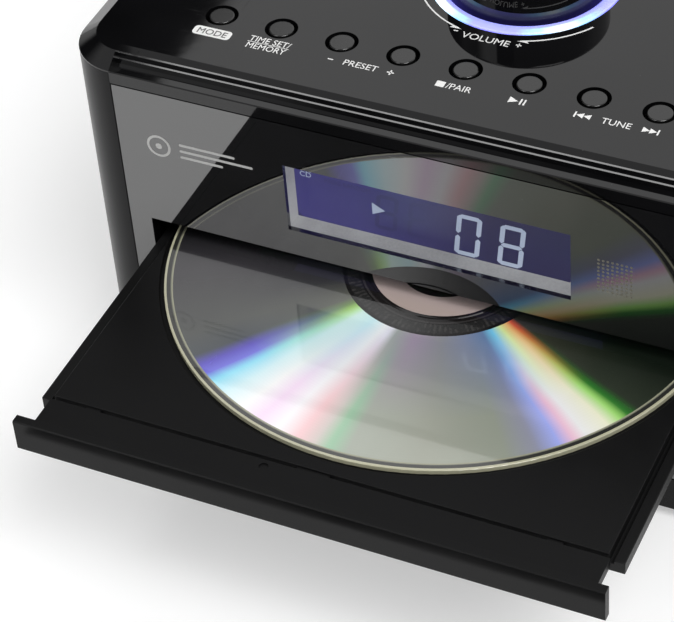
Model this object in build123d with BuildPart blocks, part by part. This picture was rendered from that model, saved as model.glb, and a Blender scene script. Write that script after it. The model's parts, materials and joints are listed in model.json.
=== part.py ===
from build123d import *
import math
import os

os.makedirs("parts", exist_ok=True)

# Tabletop CD player. Millimetres, X to the right, Y to the back, Z up, standing on Z = 0.
# Every "u" is a distance behind the flat front of the cabinet, so y = FRONT + u.

CASE_W = 165.0          # cabinet width
CASE_D = 200.0          # cabinet depth
FRONT = -68.5           # y of the cabinet's front
CASE_BOTTOM = 3.0       # underside, on feet
SHELF_Z = 87.0          # ledge in front of the raised top
TOP_Z = 90.0            # raised top
CORNER_R = 12.0
WALL = 2.5
SCREW_X = 66.4          # rear screws

# the stepped front of the raised top, as u and z: a level shelf, two steps and a slope, with narrow bevels
NOTCH = ((-2.0, 87.05), (0.0, 87.05), (0.28, 87.2), (3.4, 87.2), (3.5, 88.3), (3.78, 88.48), (4.2, 88.5),
         (4.3, 89.3), (4.58, 89.48), (6.2, 90.0))

WINDOW_HALF = 70.7      # half width of the glossy front window
WINDOW_TOP = 84.0
WINDOW_BOTTOM = 12.3

TRAY_X = -1.6           # the loader sits a little left of the middle
DISC_U = 12.0           # disc centre with the tray part way out
DISC_Z = 44.0           # underside of the disc
DISC_R = 60.0
TRAY_TOP = 44.76
TRAY_FRONT_U = -52.0
TRAY_BACK_U = 94.0
TRAY_HALF = 59.7
RAIL_HALF = 62.9
RAIL_BOTTOM = 40.1
DOOR_U = -63.0          # face of the tray's door
CLOSED_U = 74.6         # disc centre with the tray shut: the spindle's place

SLOT_HALF = 63.8
SLOT_BOTTOM = 38.0
SLOT_TOP = 49.1
LCD_X = (-32.1, 30.8)
LCD_Z = (55.8, 73.1)
LCD_U = 4.9             # face of the display glass

BUTTON_U = 22.2
BUTTON_PITCH = 13.76
BUTTON_HOLE_R = 3.5
KNOB_U = 56.5
KNOB_R = 17.3
RING_R = 20.8

GEAR_U = 17.0           # gear that drives the tray's rack
GEAR_R = 12.0
GEAR_X = TRAY_X - 55.4 + GEAR_R
PINION_R = 5.0
PULLEY_X = GEAR_X + 15.0
PULLEY_U = GEAR_U + 8.0
MOTOR_X = TRAY_X + 5.0

LENS_U = CLOSED_U + 24.0
SLED_GEAR_X = TRAY_X + 30.3 + 6.4
SLED_GEAR_U = 108.0


def block(x0, x1, u0, u1, z0, z1, mode=Mode.ADD):
    with Locations(((x0 + x1) / 2, FRONT + (u0 + u1) / 2, (z0 + z1) / 2)):
        Box(x1 - x0, u1 - u0, z1 - z0, mode=mode)


def post(x, u, z0, z1, r, mode=Mode.ADD):
    with Locations((x, FRONT + u, (z0 + z1) / 2)):
        Cylinder(r, z1 - z0, mode=mode)


def bar(x, z, u0, u1, r, mode=Mode.ADD):
    with Locations(Location((x, FRONT + (u0 + u1) / 2, z), (90, 0, 0))):
        Cylinder(r, u1 - u0, mode=mode)


def gear_outline(teeth, module, first_deg, thick):
    """Corner points of a straight-sided gear with one tooth centred on first_deg."""
    pitch_r = teeth * module / 2
    root, tip = pitch_r - 1.2 * module, pitch_r + 0.85 * module
    levels = ((root, thick + 0.75 * module), (tip, thick - 0.62 * module))
    points = []
    for k in range(teeth):
        mid = math.radians(first_deg) + 2 * math.pi * k / teeth
        for side, order in ((-1, levels), (1, levels[::-1])):
            for r, t in order:
                a = mid + side * t / 2 / r
                points.append((r * math.cos(a), r * math.sin(a)))
    return points


def save(builder, label):
    builder.part.label = label
    export_step(builder.part, f"parts/{label}.step")


# ---------------------------------------------------------------- cabinet

with BuildPart() as cabinet_shell:
    with BuildSketch(Plane.XY.offset(CASE_BOTTOM)):
        with Locations((0, FRONT + CASE_D / 2)):
            RectangleRounded(CASE_W, CASE_D, CORNER_R)
            RectangleRounded(CASE_W - 2 * WALL, CASE_D - 2 * WALL, CORNER_R - WALL, mode=Mode.SUBTRACT)
    extrude(amount=SHELF_Z - CASE_BOTTOM)
    block(-90, 90, -5, 16, 0, 90, Mode.SUBTRACT)
    block(-62.5, 62.5, 190, 205, 12, 82, Mode.SUBTRACT)
    for x in (-SCREW_X, SCREW_X):
        for z in (8.5, 83):
            bar(x, z, 190, 205, 1.7, Mode.SUBTRACT)
            bar(x, z, 198.2, 205, 3.2, Mode.SUBTRACT)
save(cabinet_shell, "cabinet_shell")

with BuildPart() as base_plate:
    with BuildSketch(Plane.XY.offset(CASE_BOTTOM)):
        with Locations((0, FRONT + CASE_D / 2)):
            RectangleRounded(CASE_W - 2 * WALL - 0.4, CASE_D - 2 * WALL - 0.4, CORNER_R - WALL)
    extrude(amount=2.5)
    block(-90, 90, -5, 16.2, 0, 90, Mode.SUBTRACT)
    for x in (TRAY_X - 60, TRAY_X + 60):
        for u in (24, 150):
            post(x, u, 3, 6, 1.7, Mode.SUBTRACT)
            post(x, u, 3, 4.5, 3.2, Mode.SUBTRACT)
    for k in range(9):
        block(-36, 36, 30 + 7 * k, 33 + 7 * k, 2, 7, Mode.SUBTRACT)
    for x in (-50, 50):
        for u in (104, 189):
            post(x, u, 5.5, 9.0, 3)
save(base_plate, "base_plate")

with BuildPart() as feet:
    for x in (-64, 64):
        for u in (34, 172):
            post(x, u, 0, 3, 7.5)
    fillet(feet.edges().filter_by(GeomType.CIRCLE).group_by(Axis.Z)[0], 0.6)
save(feet, "feet")

with BuildPart() as front_frame:
    with BuildSketch(Plane.XY.offset(CASE_BOTTOM)):
        with Locations((0, FRONT + CASE_D / 2)):
            RectangleRounded(CASE_W, CASE_D, CORNER_R)
    extrude(amount=SHELF_Z - CASE_BOTTOM)
    block(-90, 90, 16, 210, 0, 95, Mode.SUBTRACT)
    block(-WINDOW_HALF, WINDOW_HALF, -1, 3, 12, 95, Mode.SUBTRACT)
    block(-WINDOW_HALF, WINDOW_HALF, 3, 16, 84.0, 95, Mode.SUBTRACT)
    block(-67, 67, 3, 16, 14, 81, Mode.SUBTRACT)
save(front_frame, "front_frame")

with BuildPart() as front_window:
    block(-WINDOW_HALF + 0.2, WINDOW_HALF - 0.2, 0, 3, WINDOW_BOTTOM, WINDOW_TOP)
    block(TRAY_X - SLOT_HALF, TRAY_X + SLOT_HALF, -1, 4, SLOT_BOTTOM, SLOT_TOP, Mode.SUBTRACT)
    block(LCD_X[0], LCD_X[1], -1, 4, LCD_Z[0], LCD_Z[1], Mode.SUBTRACT)
    block(LCD_X[0] - 2.1, LCD_X[1] + 2.1, 1.2, 4, LCD_Z[0] - 2.1, LCD_Z[1] + 2.1, Mode.SUBTRACT)
save(front_window, "front_window")

with BuildPart() as display_lens:
    block(LCD_X[0] + 0.1, LCD_X[1] - 0.1, 0, 1.2, LCD_Z[0] + 0.1, LCD_Z[1] - 0.1)
save(display_lens, "display_lens")

with BuildPart() as display_bezel:
    block(LCD_X[0] - 1.9, LCD_X[1] + 1.9, 1.2, LCD_U, LCD_Z[0] - 1.9, LCD_Z[1] + 1.9)
    block(LCD_X[0], LCD_X[1], 1, 6, LCD_Z[0], LCD_Z[1], Mode.SUBTRACT)
save(display_bezel, "display_bezel")

with BuildPart() as lcd_glass:
    block(LCD_X[0] - 3.5, LCD_X[1] + 3.5, LCD_U, 9.0, LCD_Z[0] - 3.0, LCD_Z[1] + 3.0)
save(lcd_glass, "lcd_glass")

with BuildPart() as display_board:
    block(-45, 55, 9.0, 10.6, 51, 80)
    for x in (-42, 52):
        for z in (54, 77):
            bar(x, z, 8.9, 10.7, 1.3, Mode.SUBTRACT)
save(display_board, "display_board")

with BuildPart() as ir_receiver:
    block(37.3, 42.9, 5.0, 9.0, 61.4, 67.6)
    bar(40.1, 64.5, 3.4, 5.0, 2.2)
save(ir_receiver, "ir_receiver")

with BuildPart() as top_cover:
    with BuildSketch(Plane.XY.offset(SHELF_Z)):
        with Locations((0, FRONT + CASE_D / 2)):
            RectangleRounded(CASE_W, CASE_D, CORNER_R)
    extrude(amount=0.4)
    with BuildSketch(Plane.XY.offset(SHELF_Z + 0.4)):
        with Locations((0, FRONT + CASE_D / 2)):
            RectangleRounded(CASE_W, CASE_D, CORNER_R)
    extrude(amount=TOP_Z - SHELF_Z - 0.4, taper=57)
    block(-WINDOW_HALF, WINDOW_HALF, 0, 12, 84.3, SHELF_Z)
    with BuildSketch(Plane.YZ.offset(-WINDOW_HALF)):
        Polygon(*[(FRONT + u, z) for u, z in NOTCH], (FRONT + 6.2, 93), (FRONT - 2, 93), align=None)
    extrude(amount=2 * WINDOW_HALF, mode=Mode.SUBTRACT)
    for x in (-66, 66):
        for u in (34, 66):
            post(x, u, 78, SHELF_Z, 3)
            post(x, u, 77, 85, 1.1, Mode.SUBTRACT)
    for k in range(9):
        post((k - 4) * BUTTON_PITCH, BUTTON_U, 80, 95, BUTTON_HOLE_R, Mode.SUBTRACT)
    post(0, KNOB_U, 80, 95, RING_R + 0.15, Mode.SUBTRACT)
    for k in range(7):
        block(-30, 30, 150 + 6 * k, 152.4 + 6 * k, 80, 95, Mode.SUBTRACT)
save(top_cover, "top_cover")

with BuildPart() as light_ring:
    post(0, KNOB_U, 84.5, 86, RING_R)
    post(0, KNOB_U, 86, 90.4, RING_R)
    post(0, KNOB_U, 86, 91, KNOB_R + 0.8, Mode.SUBTRACT)
    post(0, KNOB_U, 84, 87, 4, Mode.SUBTRACT)
    fillet(light_ring.edges().filter_by(GeomType.CIRCLE).group_by(Axis.Z)[-1], 0.4)
save(light_ring, "light_ring")

with BuildPart() as volume_knob:
    post(0, KNOB_U, 87, 102, KNOB_R)
    fillet(volume_knob.edges().filter_by(GeomType.CIRCLE).group_by(Axis.Z)[-1], 1.2)
    post(0, KNOB_U, 101.0, 103, 14.6, Mode.SUBTRACT)
    with Locations((8.4, FRONT + KNOB_U, 104.2)):
        Sphere(4.6, mode=Mode.SUBTRACT)
    post(0, KNOB_U, 86, 98.6, 15.2, Mode.SUBTRACT)
    post(0, KNOB_U, 90, 98.6, 6)
    post(0, KNOB_U, 79.5, 98.6, 3)
save(volume_knob, "volume_knob")

with BuildPart() as button_board:
    block(-69.5, 69.5, 17.2, 71, 76.4, 78)
    for x in (-66, 66):
        for u in (34, 66):
            post(x, u, 76, 79, 1.4, Mode.SUBTRACT)
save(button_board, "button_board")

with BuildPart() as tact_switches:
    for k in range(9):
        x = (k - 4) * BUTTON_PITCH
        block(x - 3, x + 3, BUTTON_U - 3, BUTTON_U + 3, 78, 80.6)
        post(x, BUTTON_U, 80.6, 81.4, 1.6)
save(tact_switches, "tact_switches")

with BuildPart() as encoder_body:
    block(-6.5, 6.5, KNOB_U - 6.5, KNOB_U + 6.5, 78, 82.4)
    post(0, KNOB_U, 82.4, 84.2, 4.6)
    post(0, KNOB_U, 79, 85, 3.08, Mode.SUBTRACT)
save(encoder_body, "encoder_body")

for k, name in enumerate(("mode", "memory", "preset_down", "preset_up", "stop",
                          "play", "tune_down", "tune_up", "eject")):
    x = (k - 4) * BUTTON_PITCH
    with BuildPart() as button:
        post(x, BUTTON_U, 86, TOP_Z, BUTTON_HOLE_R - 0.85)
        fillet(button.edges().filter_by(GeomType.CIRCLE).group_by(Axis.Z)[-1], 0.25)
        post(x, BUTTON_U, 84.6, 86, BUTTON_HOLE_R + 0.9)
        post(x, BUTTON_U, 82.2, 84.6, 1.4)
    save(button, "button_" + name)

# ---------------------------------------------------------------- disc tray

with BuildPart() as tray_plate:
    block(TRAY_X - TRAY_HALF, TRAY_X + TRAY_HALF, TRAY_FRONT_U, TRAY_BACK_U, 42.4, TRAY_TOP)
    for side in (-1, 1):
        xa, xb = sorted((TRAY_X + side * 56.5, TRAY_X + side * RAIL_HALF))
        block(xa, xb, TRAY_FRONT_U, TRAY_BACK_U, RAIL_BOTTOM, 42.4)
        xa, xb = sorted((TRAY_X + side * 60.6, TRAY_X + side * RAIL_HALF))
        block(xa, xb, TRAY_FRONT_U, TRAY_BACK_U, 42.4, 43.13)
    post(TRAY_X, DISC_U, DISC_Z - 0.05, 46, DISC_R + 1.0, Mode.SUBTRACT)
    post(TRAY_X, DISC_U, DISC_Z - 0.6, 46, 41, Mode.SUBTRACT)
    block(TRAY_X - 19, TRAY_X + 19, DISC_U - 16, DISC_U + 68, 38, 46, Mode.SUBTRACT)
    with BuildSketch(Plane.XY.offset(RAIL_BOTTOM + 0.2)):
        for k in range(-21, 24):
            u = GEAR_U + (k + 0.5) * math.pi
            Polygon((TRAY_X - 57, FRONT + u - 1.05), (TRAY_X - 56.5, FRONT + u - 1.05),
                    (TRAY_X - 54.5, FRONT + u - 0.42), (TRAY_X - 54.5, FRONT + u + 0.42),
                    (TRAY_X - 56.5, FRONT + u + 1.05), (TRAY_X - 57, FRONT + u + 1.05), align=None)
    extrude(amount=2.1)
save(tray_plate, "tray_plate")

with BuildPart() as tray_door:
    block(TRAY_X - 63, TRAY_X + 63, DOOR_U, DOOR_U + 2, 38.7, 46.5)
    chamfer(tray_door.edges().filter_by(Axis.X).group_by(Axis.Y)[0], 0.25)
    block(TRAY_X - 60.2, TRAY_X + 60.2, DOOR_U + 2, TRAY_FRONT_U - 0.6, 42.1, 44.3)
    for dx, w in ((-50.5, 3.2), (-1.5, 7.0), (49, 3.2)):
        block(TRAY_X + dx - w / 2, TRAY_X + dx + w / 2, TRAY_FRONT_U - 0.6, TRAY_FRONT_U, 42.5, 44.25)
    post(TRAY_X - 11.3, DOOR_U + 8.6, 43.9, 45, 1.0, Mode.SUBTRACT)
save(tray_door, "tray_door")

with BuildPart() as compact_disc:
    post(TRAY_X, DISC_U, DISC_Z, DISC_Z + 1.2, DISC_R)
    fillet(compact_disc.edges().filter_by(GeomType.CIRCLE), 0.15)
    post(TRAY_X, DISC_U, DISC_Z - 1, DISC_Z + 2, 7.5, Mode.SUBTRACT)
    with BuildSketch(Plane.XY.offset(DISC_Z + 1.0)):
        with Locations((TRAY_X, FRONT + DISC_U)):
            Circle(17.0)
            Circle(16.6, mode=Mode.SUBTRACT)
    extrude(amount=1, mode=Mode.SUBTRACT)
save(compact_disc, "compact_disc")

# ---------------------------------------------------------------- loader

with BuildPart() as loader_chassis:
    block(TRAY_X - 62, TRAY_X + 62, 4, 18, 16, 18)
    block(TRAY_X - 66.2, TRAY_X + 66.2, 17, 160, 16, 18)
    for side in (-1, 1):
        xa, xb = sorted((TRAY_X + side * 64.2, TRAY_X + side * 66.2))
        block(xa, xb, 17, 160, 18, 49.9)
        xa, xb = sorted((TRAY_X + side * 58.2, TRAY_X + side * 64.2))
        block(xa, xb, 17, 160, 37.6, 39.8)
        xa, xb = sorted((TRAY_X + side * 61.2, TRAY_X + side * 64.2))
        block(xa, xb, 17, 160, 43.5, 45.1)
        for u in (24, 150):
            post(TRAY_X + side * 60, u, 5.5, 16, 3.6)
            post(TRAY_X + side * 60, u, 5, 15, 1.6, Mode.SUBTRACT)
    block(TRAY_X - 66.2, TRAY_X + 66.2, 158, 160, 18, 38.5)
    post(GEAR_X, GEAR_U, 18, 41.2, 2)
    post(PULLEY_X, PULLEY_U, 18, 38.6, 1.5)
    for x, u in ((-40, 60), (40, 60), (-40, 145), (40, 145)):
        post(TRAY_X + x, u, 18, 19, 5)
    block(TRAY_X - 30, TRAY_X + 30, 66, 148, 15, 19, Mode.SUBTRACT)
save(loader_chassis, "loader_chassis")

with BuildPart() as loading_gear:
    with BuildSketch(Plane.XY.offset(35.0)):
        with Locations((GEAR_X, FRONT + GEAR_U)):
            Polygon(*gear_outline(24, 1.0, 180, 1.2), align=None)
            Circle(2.08, mode=Mode.SUBTRACT)
    extrude(amount=6.7)
    with BuildSketch(Plane.XY.offset(35.0)):
        with Locations((GEAR_X, FRONT + GEAR_U)):
            Circle(9.4)
            Circle(4.2, mode=Mode.SUBTRACT)
    extrude(amount=1.6, mode=Mode.SUBTRACT)
save(loading_gear, "loading_gear")

with BuildPart() as loading_pulley:
    for z0, z1, r in ((30.2, 31.2, 14.2), (31.2, 33.4, 12.4), (33.4, 34.4, 14.2)):
        post(PULLEY_X, PULLEY_U, z0, z1, r)
    with BuildSketch(Plane.XY.offset(34.4)):
        with Locations((PULLEY_X, FRONT + PULLEY_U)):
            Polygon(*gear_outline(10, 1.0, 221.44, 1.2), align=None)
    extrude(amount=5.0)
    post(PULLEY_X, PULLEY_U, 30, 40, 1.58, Mode.SUBTRACT)
save(loading_pulley, "loading_pulley")

with BuildPart() as motor_pulley:
    for z0, z1, r in ((30.2, 31.2, 5.2), (31.2, 33.4, 3.6), (33.4, 34.4, 5.2)):
        post(MOTOR_X, PULLEY_U, z0, z1, r)
    post(MOTOR_X, PULLEY_U, 22, 30.2, 1.0)
save(motor_pulley, "motor_pulley")

with BuildPart() as loading_motor:
    post(MOTOR_X, PULLEY_U, 18, 28.6, 11.5)
    post(MOTOR_X, PULLEY_U, 28.6, 29.4, 3.5)
    post(MOTOR_X, PULLEY_U, 20, 30, 1.08, Mode.SUBTRACT)
save(loading_motor, "loading_motor")

with BuildPart() as drive_belt:
    span = MOTOR_X - PULLEY_X
    for grow, mode in ((1.0, Mode.ADD), (0.0, Mode.SUBTRACT)):
        big, small = 12.7 + grow, 3.9 + grow
        a = math.acos((big - small) / span)
        with BuildSketch(Plane.XY.offset(31.6)):
            with Locations((PULLEY_X, FRONT + PULLEY_U)):
                Circle(big)
                Polygon((big * math.cos(a), big * math.sin(a)),
                        (span + small * math.cos(a), small * math.sin(a)),
                        (span + small * math.cos(a), -small * math.sin(a)),
                        (big * math.cos(a), -big * math.sin(a)), align=None)
            with Locations((MOTOR_X, FRONT + PULLEY_U)):
                Circle(small)
        extrude(amount=1.4, mode=mode)
save(drive_belt, "drive_belt")

with BuildPart() as clamp_bridge:
    block(TRAY_X - 66.2, TRAY_X + 66.2, CLOSED_U - 14, CLOSED_U + 14, 49.9, 52.0)
    post(TRAY_X, CLOSED_U, 49, 53, 8, Mode.SUBTRACT)
    for x in (-48, -30, 30, 48):
        block(TRAY_X + x - 5, TRAY_X + x + 5, CLOSED_U - 9, CLOSED_U + 9, 49, 53, Mode.SUBTRACT)
save(clamp_bridge, "clamp_bridge")

with BuildPart() as clamper:
    post(TRAY_X, CLOSED_U, 47.0, 49.3, 14)
    post(TRAY_X, CLOSED_U, 49.3, 52.6, 6)
    post(TRAY_X, CLOSED_U, 52.6, 53.6, 11)
    post(TRAY_X, CLOSED_U, 46, 48.2, 8, Mode.SUBTRACT)
save(clamper, "clamper")

with BuildPart() as deck_plate:
    block(TRAY_X - 46, TRAY_X + 46, 54, 152, 24, 25.6)
    for x, u in ((-40, 60), (40, 60), (-40, 145), (40, 145)):
        post(TRAY_X + x, u, 23, 26, 2.6, Mode.SUBTRACT)
    for x in (-24, 24):
        for u in (85.5, 149):
            block(TRAY_X + x - 2.3, TRAY_X + x + 2.3, u - 1.5, u + 1.5, 25.6, 34)
        bar(TRAY_X + x, 31, 80, 152, 1.5, Mode.SUBTRACT)
    post(SLED_GEAR_X, SLED_GEAR_U, 25.6, 31.4, 1.2)
    post(SLED_GEAR_X, SLED_GEAR_U + 9.6, 23, 26, 1.8, Mode.SUBTRACT)
    block(TRAY_X - 14, TRAY_X + 14, 104, 140, 23, 27, Mode.SUBTRACT)
save(deck_plate, "deck_plate")

with BuildPart() as deck_dampers:
    for x, u in ((-40, 60), (40, 60), (-40, 145), (40, 145)):
        post(TRAY_X + x, u, 19, 24, 4.4)
        post(TRAY_X + x, u, 24, 25.6, 2.4)
        post(TRAY_X + x, u, 25.6, 27.4, 4.0)
save(deck_dampers, "deck_dampers")

with BuildPart() as guide_rods:
    for x in (-24, 24):
        bar(TRAY_X + x, 31, 83, 151.5, 1.4)
save(guide_rods, "guide_rods")

with BuildPart() as spindle_motor:
    post(TRAY_X, CLOSED_U, 25.6, 32.6, 13.5)
    post(TRAY_X, CLOSED_U, 32.6, 33.4, 4)
    post(TRAY_X, CLOSED_U, 27, 34, 1.08, Mode.SUBTRACT)
save(spindle_motor, "spindle_motor")

with BuildPart() as turntable:
    post(TRAY_X, CLOSED_U, 34, 36.8, 14.4)
    post(TRAY_X, CLOSED_U, 28, 34, 1.0)
    with Locations((TRAY_X, FRONT + CLOSED_U, 38.1)):
        Cone(7.2, 5.6, 2.6)
save(turntable, "turntable")

with BuildPart() as pickup_sled:
    block(TRAY_X - 17, TRAY_X + 17, 91, 112, 28, 34.2)
    for side in (-1, 1):
        xa, xb = sorted((TRAY_X + side * 16, TRAY_X + side * 27.3))
        block(xa, xb, 92, 110, 28.5, 33.5)
        block(TRAY_X + side * 7.6 - 1, TRAY_X + side * 7.6 + 1, LENS_U - 4, LENS_U + 4, 34.2, 37.4)
        bar(TRAY_X + side * 24, 31, 90, 114, 1.5, Mode.SUBTRACT)
    block(TRAY_X + 26.5, TRAY_X + 29.4, 71, 111, 28.5, 31.2)
    block(TRAY_X + 20, TRAY_X + 27.3, 80, 91, 28, 34, Mode.SUBTRACT)
    with BuildSketch(Plane.XY.offset(28.5)):
        for k in range(-14, 1):
            u = SLED_GEAR_U + (k + 0.5) * 0.8 * math.pi
            Polygon((TRAY_X + 29, FRONT + u - 0.85), (TRAY_X + 29.35, FRONT + u - 0.85),
                    (TRAY_X + 30.95, FRONT + u - 0.3), (TRAY_X + 30.95, FRONT + u + 0.3),
                    (TRAY_X + 29.35, FRONT + u + 0.85), (TRAY_X + 29, FRONT + u + 0.85), align=None)
    extrude(amount=2.7)
save(pickup_sled, "pickup_sled")

with BuildPart() as objective_lens:
    block(TRAY_X - 5.6, TRAY_X + 5.6, LENS_U - 4.6, LENS_U + 4.6, 35.0, 36.6)
    post(TRAY_X, LENS_U, 36.6, 37.2, 3.2)
    with Locations((TRAY_X, FRONT + LENS_U, 34.4)):
        Sphere(3.9)
    block(TRAY_X - 6, TRAY_X + 6, LENS_U - 6, LENS_U + 6, 28, 35.0, Mode.SUBTRACT)
save(objective_lens, "objective_lens")

with BuildPart() as sled_gear:
    with BuildSketch(Plane.XY.offset(26.4)):
        with Locations((SLED_GEAR_X, FRONT + SLED_GEAR_U)):
            Polygon(*gear_outline(16, 0.8, 180, 0.95), align=None)
            Circle(1.28, mode=Mode.SUBTRACT)
    extrude(amount=4.6)
save(sled_gear, "sled_gear")

with BuildPart() as sled_pinion:
    with BuildSketch(Plane.XY.offset(26.4)):
        with Locations((SLED_GEAR_X, FRONT + SLED_GEAR_U + 9.6)):
            Polygon(*gear_outline(8, 0.8, 247.5, 0.95), align=None)
    extrude(amount=4.6)
    post(SLED_GEAR_X, SLED_GEAR_U + 9.6, 20, 26.4, 0.8)
save(sled_pinion, "sled_pinion")

with BuildPart() as sled_motor:
    post(SLED_GEAR_X, SLED_GEAR_U + 9.6, 18.6, 23.8, 5.0)
    post(SLED_GEAR_X, SLED_GEAR_U + 9.6, 19.5, 24, 0.88, Mode.SUBTRACT)
save(sled_motor, "sled_motor")

# ---------------------------------------------------------------- electronics and rear

with BuildPart() as main_board:
    block(-54, 54, 100, 193, 9.0, 10.6)
save(main_board, "main_board")

with BuildPart() as radio_module:
    block(-20, 14, 118, 146, 10.6, 13.8)
    for k in range(5):
        bar(-14 + 5.6 * k, 13.8, 121, 143, 0.5, Mode.SUBTRACT)
save(radio_module, "radio_module")

with BuildPart() as transformer_core:
    block(-50, -14, 163, 183, 10.6, 42)
    for x in (-32 - 8.5, -32 + 8.5):
        block(x - 3.5, x + 3.5, 160, 190, 17, 36, Mode.SUBTRACT)
save(transformer_core, "transformer_core")

with BuildPart() as transformer_coil:
    block(-43.8, -20.2, 161.5, 184.5, 17.3, 35.7)
    block(-37.2, -26.8, 160, 190, 17, 36, Mode.SUBTRACT)
save(transformer_coil, "transformer_coil")

with BuildPart() as heatsink:
    block(0, 38, 174, 177, 10.6, 42)
    for k in range(8):
        block(5.2 * k, 5.2 * k + 1.6, 162, 174, 12.6, 42)
save(heatsink, "heatsink")

with BuildPart() as amplifier_chip:
    block(10, 29, 177, 181, 15, 28)
    for k in range(9):
        block(11.2 + 2 * k, 11.8 + 2 * k, 178.6, 179.2, 10.6, 15)
save(amplifier_chip, "amplifier_chip")

with BuildPart() as capacitors:
    for x, u in ((45, 166), (45, 177), (-4, 154), (8, 154)):
        post(x, u, 10.6, 15.4 if u < 160 else 27, 4.6 if u > 160 else 3)
    fillet(capacitors.edges().filter_by(GeomType.CIRCLE).group_by(Axis.Z)[-1], 0.6)
save(capacitors, "capacitors")

with BuildPart() as rear_panel:
    block(-70.2, 70.2, 195.0, 197.3, 6.0, 85.5)
    block(-40.3, -7.7, 190, 200, 19.7, 44.3, Mode.SUBTRACT)
    bar(18, 34, 190, 200, 4.2, Mode.SUBTRACT)
    bar(40, 34, 190, 200, 4.7, Mode.SUBTRACT)
    block(47.8, 60.2, 190, 200, 13.8, 24.2, Mode.SUBTRACT)
    for x in (-SCREW_X, SCREW_X):
        for z in (8.5, 83):
            bar(x, z, 190, 200, 1.6, Mode.SUBTRACT)
    for k in range(14):
        block(-58 + 8.9 * k, -55 + 8.9 * k, 190, 200, 56, 76, Mode.SUBTRACT)
save(rear_panel, "rear_panel")

with BuildPart() as speaker_terminals:
    block(-40, -8, 187, 199, 20, 44)
    for x in (-32, -16):
        for z in (26, 38):
            bar(x, z, 190, 200, 2.6, Mode.SUBTRACT)
            block(x - 5, x + 5, 197.6, 200, z + 2.9, z + 4.6, Mode.SUBTRACT)
save(speaker_terminals, "speaker_terminals")

with BuildPart() as aux_jack:
    bar(18, 34, 183, 199.4, 4.0)
    bar(18, 34, 185.4, 200, 1.8, Mode.SUBTRACT)
save(aux_jack, "aux_jack")

with BuildPart() as antenna_socket:
    bar(40, 34, 186, 199.4, 4.5)
    bar(40, 34, 197.4, 200, 3.6, Mode.SUBTRACT)
    bar(40, 34, 195, 199.0, 1.0)
save(antenna_socket, "antenna_socket")

with BuildPart() as power_inlet:
    block(48, 60, 184, 199, 14, 24)
    bar(54, 19, 188, 200, 3.2, Mode.SUBTRACT)
    bar(54, 19, 188, 198, 1.0)
save(power_inlet, "power_inlet")

with BuildPart() as rear_screws:
    for x in (-SCREW_X, SCREW_X):
        for z in (8.5, 83):
            bar(x, z, 198.3, 199.8, 2.9)
            bar(x, z, 193, 198.3, 1.4)
            bar(x, z, 199.0, 200, 0.9, Mode.SUBTRACT)
save(rear_screws, "rear_screws")

with BuildPart() as base_screws:
    for x in (TRAY_X - 60, TRAY_X + 60):
        for u in (24, 150):
            post(x, u, 3.1, 4.4, 2.9)
            post(x, u, 4.4, 14, 1.4)
            post(x, u, 3.0, 3.7, 0.9, Mode.SUBTRACT)
save(base_screws, "base_screws")
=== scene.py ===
import json
import math

import bmesh
import bpy
from mathutils import Matrix, Vector


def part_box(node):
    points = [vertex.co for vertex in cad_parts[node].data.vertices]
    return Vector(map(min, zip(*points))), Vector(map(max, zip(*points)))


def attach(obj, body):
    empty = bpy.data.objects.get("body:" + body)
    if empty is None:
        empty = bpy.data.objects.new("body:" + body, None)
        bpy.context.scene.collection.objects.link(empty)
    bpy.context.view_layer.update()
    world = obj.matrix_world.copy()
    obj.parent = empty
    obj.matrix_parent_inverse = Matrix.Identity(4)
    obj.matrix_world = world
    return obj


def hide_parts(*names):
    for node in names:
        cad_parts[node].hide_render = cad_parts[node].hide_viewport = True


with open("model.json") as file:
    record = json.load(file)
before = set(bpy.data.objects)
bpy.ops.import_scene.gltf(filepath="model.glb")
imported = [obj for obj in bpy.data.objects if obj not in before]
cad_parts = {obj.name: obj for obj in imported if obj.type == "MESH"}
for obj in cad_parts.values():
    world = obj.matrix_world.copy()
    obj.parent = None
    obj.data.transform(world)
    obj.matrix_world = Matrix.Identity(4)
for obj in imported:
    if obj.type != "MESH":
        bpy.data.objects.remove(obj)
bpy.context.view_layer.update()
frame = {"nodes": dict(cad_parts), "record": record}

NODES = frame["nodes"]
BODY_OF = {n: b for b, ns in frame["record"]["behaviour"]["bodies"].items() for n in ns}
SLOT_OF = {p["node"]: p["material_slot"] for p in frame["record"]["subparts"]}
MM = 0.001


def centre(node):
    lo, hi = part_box(node)
    return (lo + hi) / 2


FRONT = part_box("front_window")[0].y         # the front window's face
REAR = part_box("rear_panel")[1].y
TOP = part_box("top_cover")[1].z
DISC = centre("compact_disc")
KNOB = centre("volume_knob")
LENS_LO, LENS_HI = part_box("display_lens")
LCD_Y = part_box("lcd_glass")[0].y

# ---------------------------------------------------------------- camera

CAM_AZ, CAM_EL, CAM_ROLL = map(math.radians, (27.944, 42.511, -5.088))
back = Vector((math.sin(CAM_AZ) * math.cos(CAM_EL), -math.cos(CAM_AZ) * math.cos(CAM_EL), math.sin(CAM_EL)))
right = Vector((math.cos(CAM_AZ), math.sin(CAM_AZ), 0))
up = back.cross(right)
cam_x = right * math.cos(CAM_ROLL) + up * math.sin(CAM_ROLL)
cam_y = up * math.cos(CAM_ROLL) - right * math.sin(CAM_ROLL)
camera = bpy.data.objects.new("camera", bpy.data.cameras.new("camera"))
bpy.context.scene.collection.objects.link(camera)
spin = Matrix((cam_x, cam_y, back)).transposed().to_4x4()
camera.matrix_world = Matrix.Translation((0.171018, -0.433149, 0.414011)) @ spin
camera.data.sensor_fit = "HORIZONTAL"
camera.data.sensor_width = 36.0
camera.data.lens = 140.303
camera.data.clip_start = 0.01
bpy.context.scene.camera = camera

# ---------------------------------------------------------------- node helpers


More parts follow.
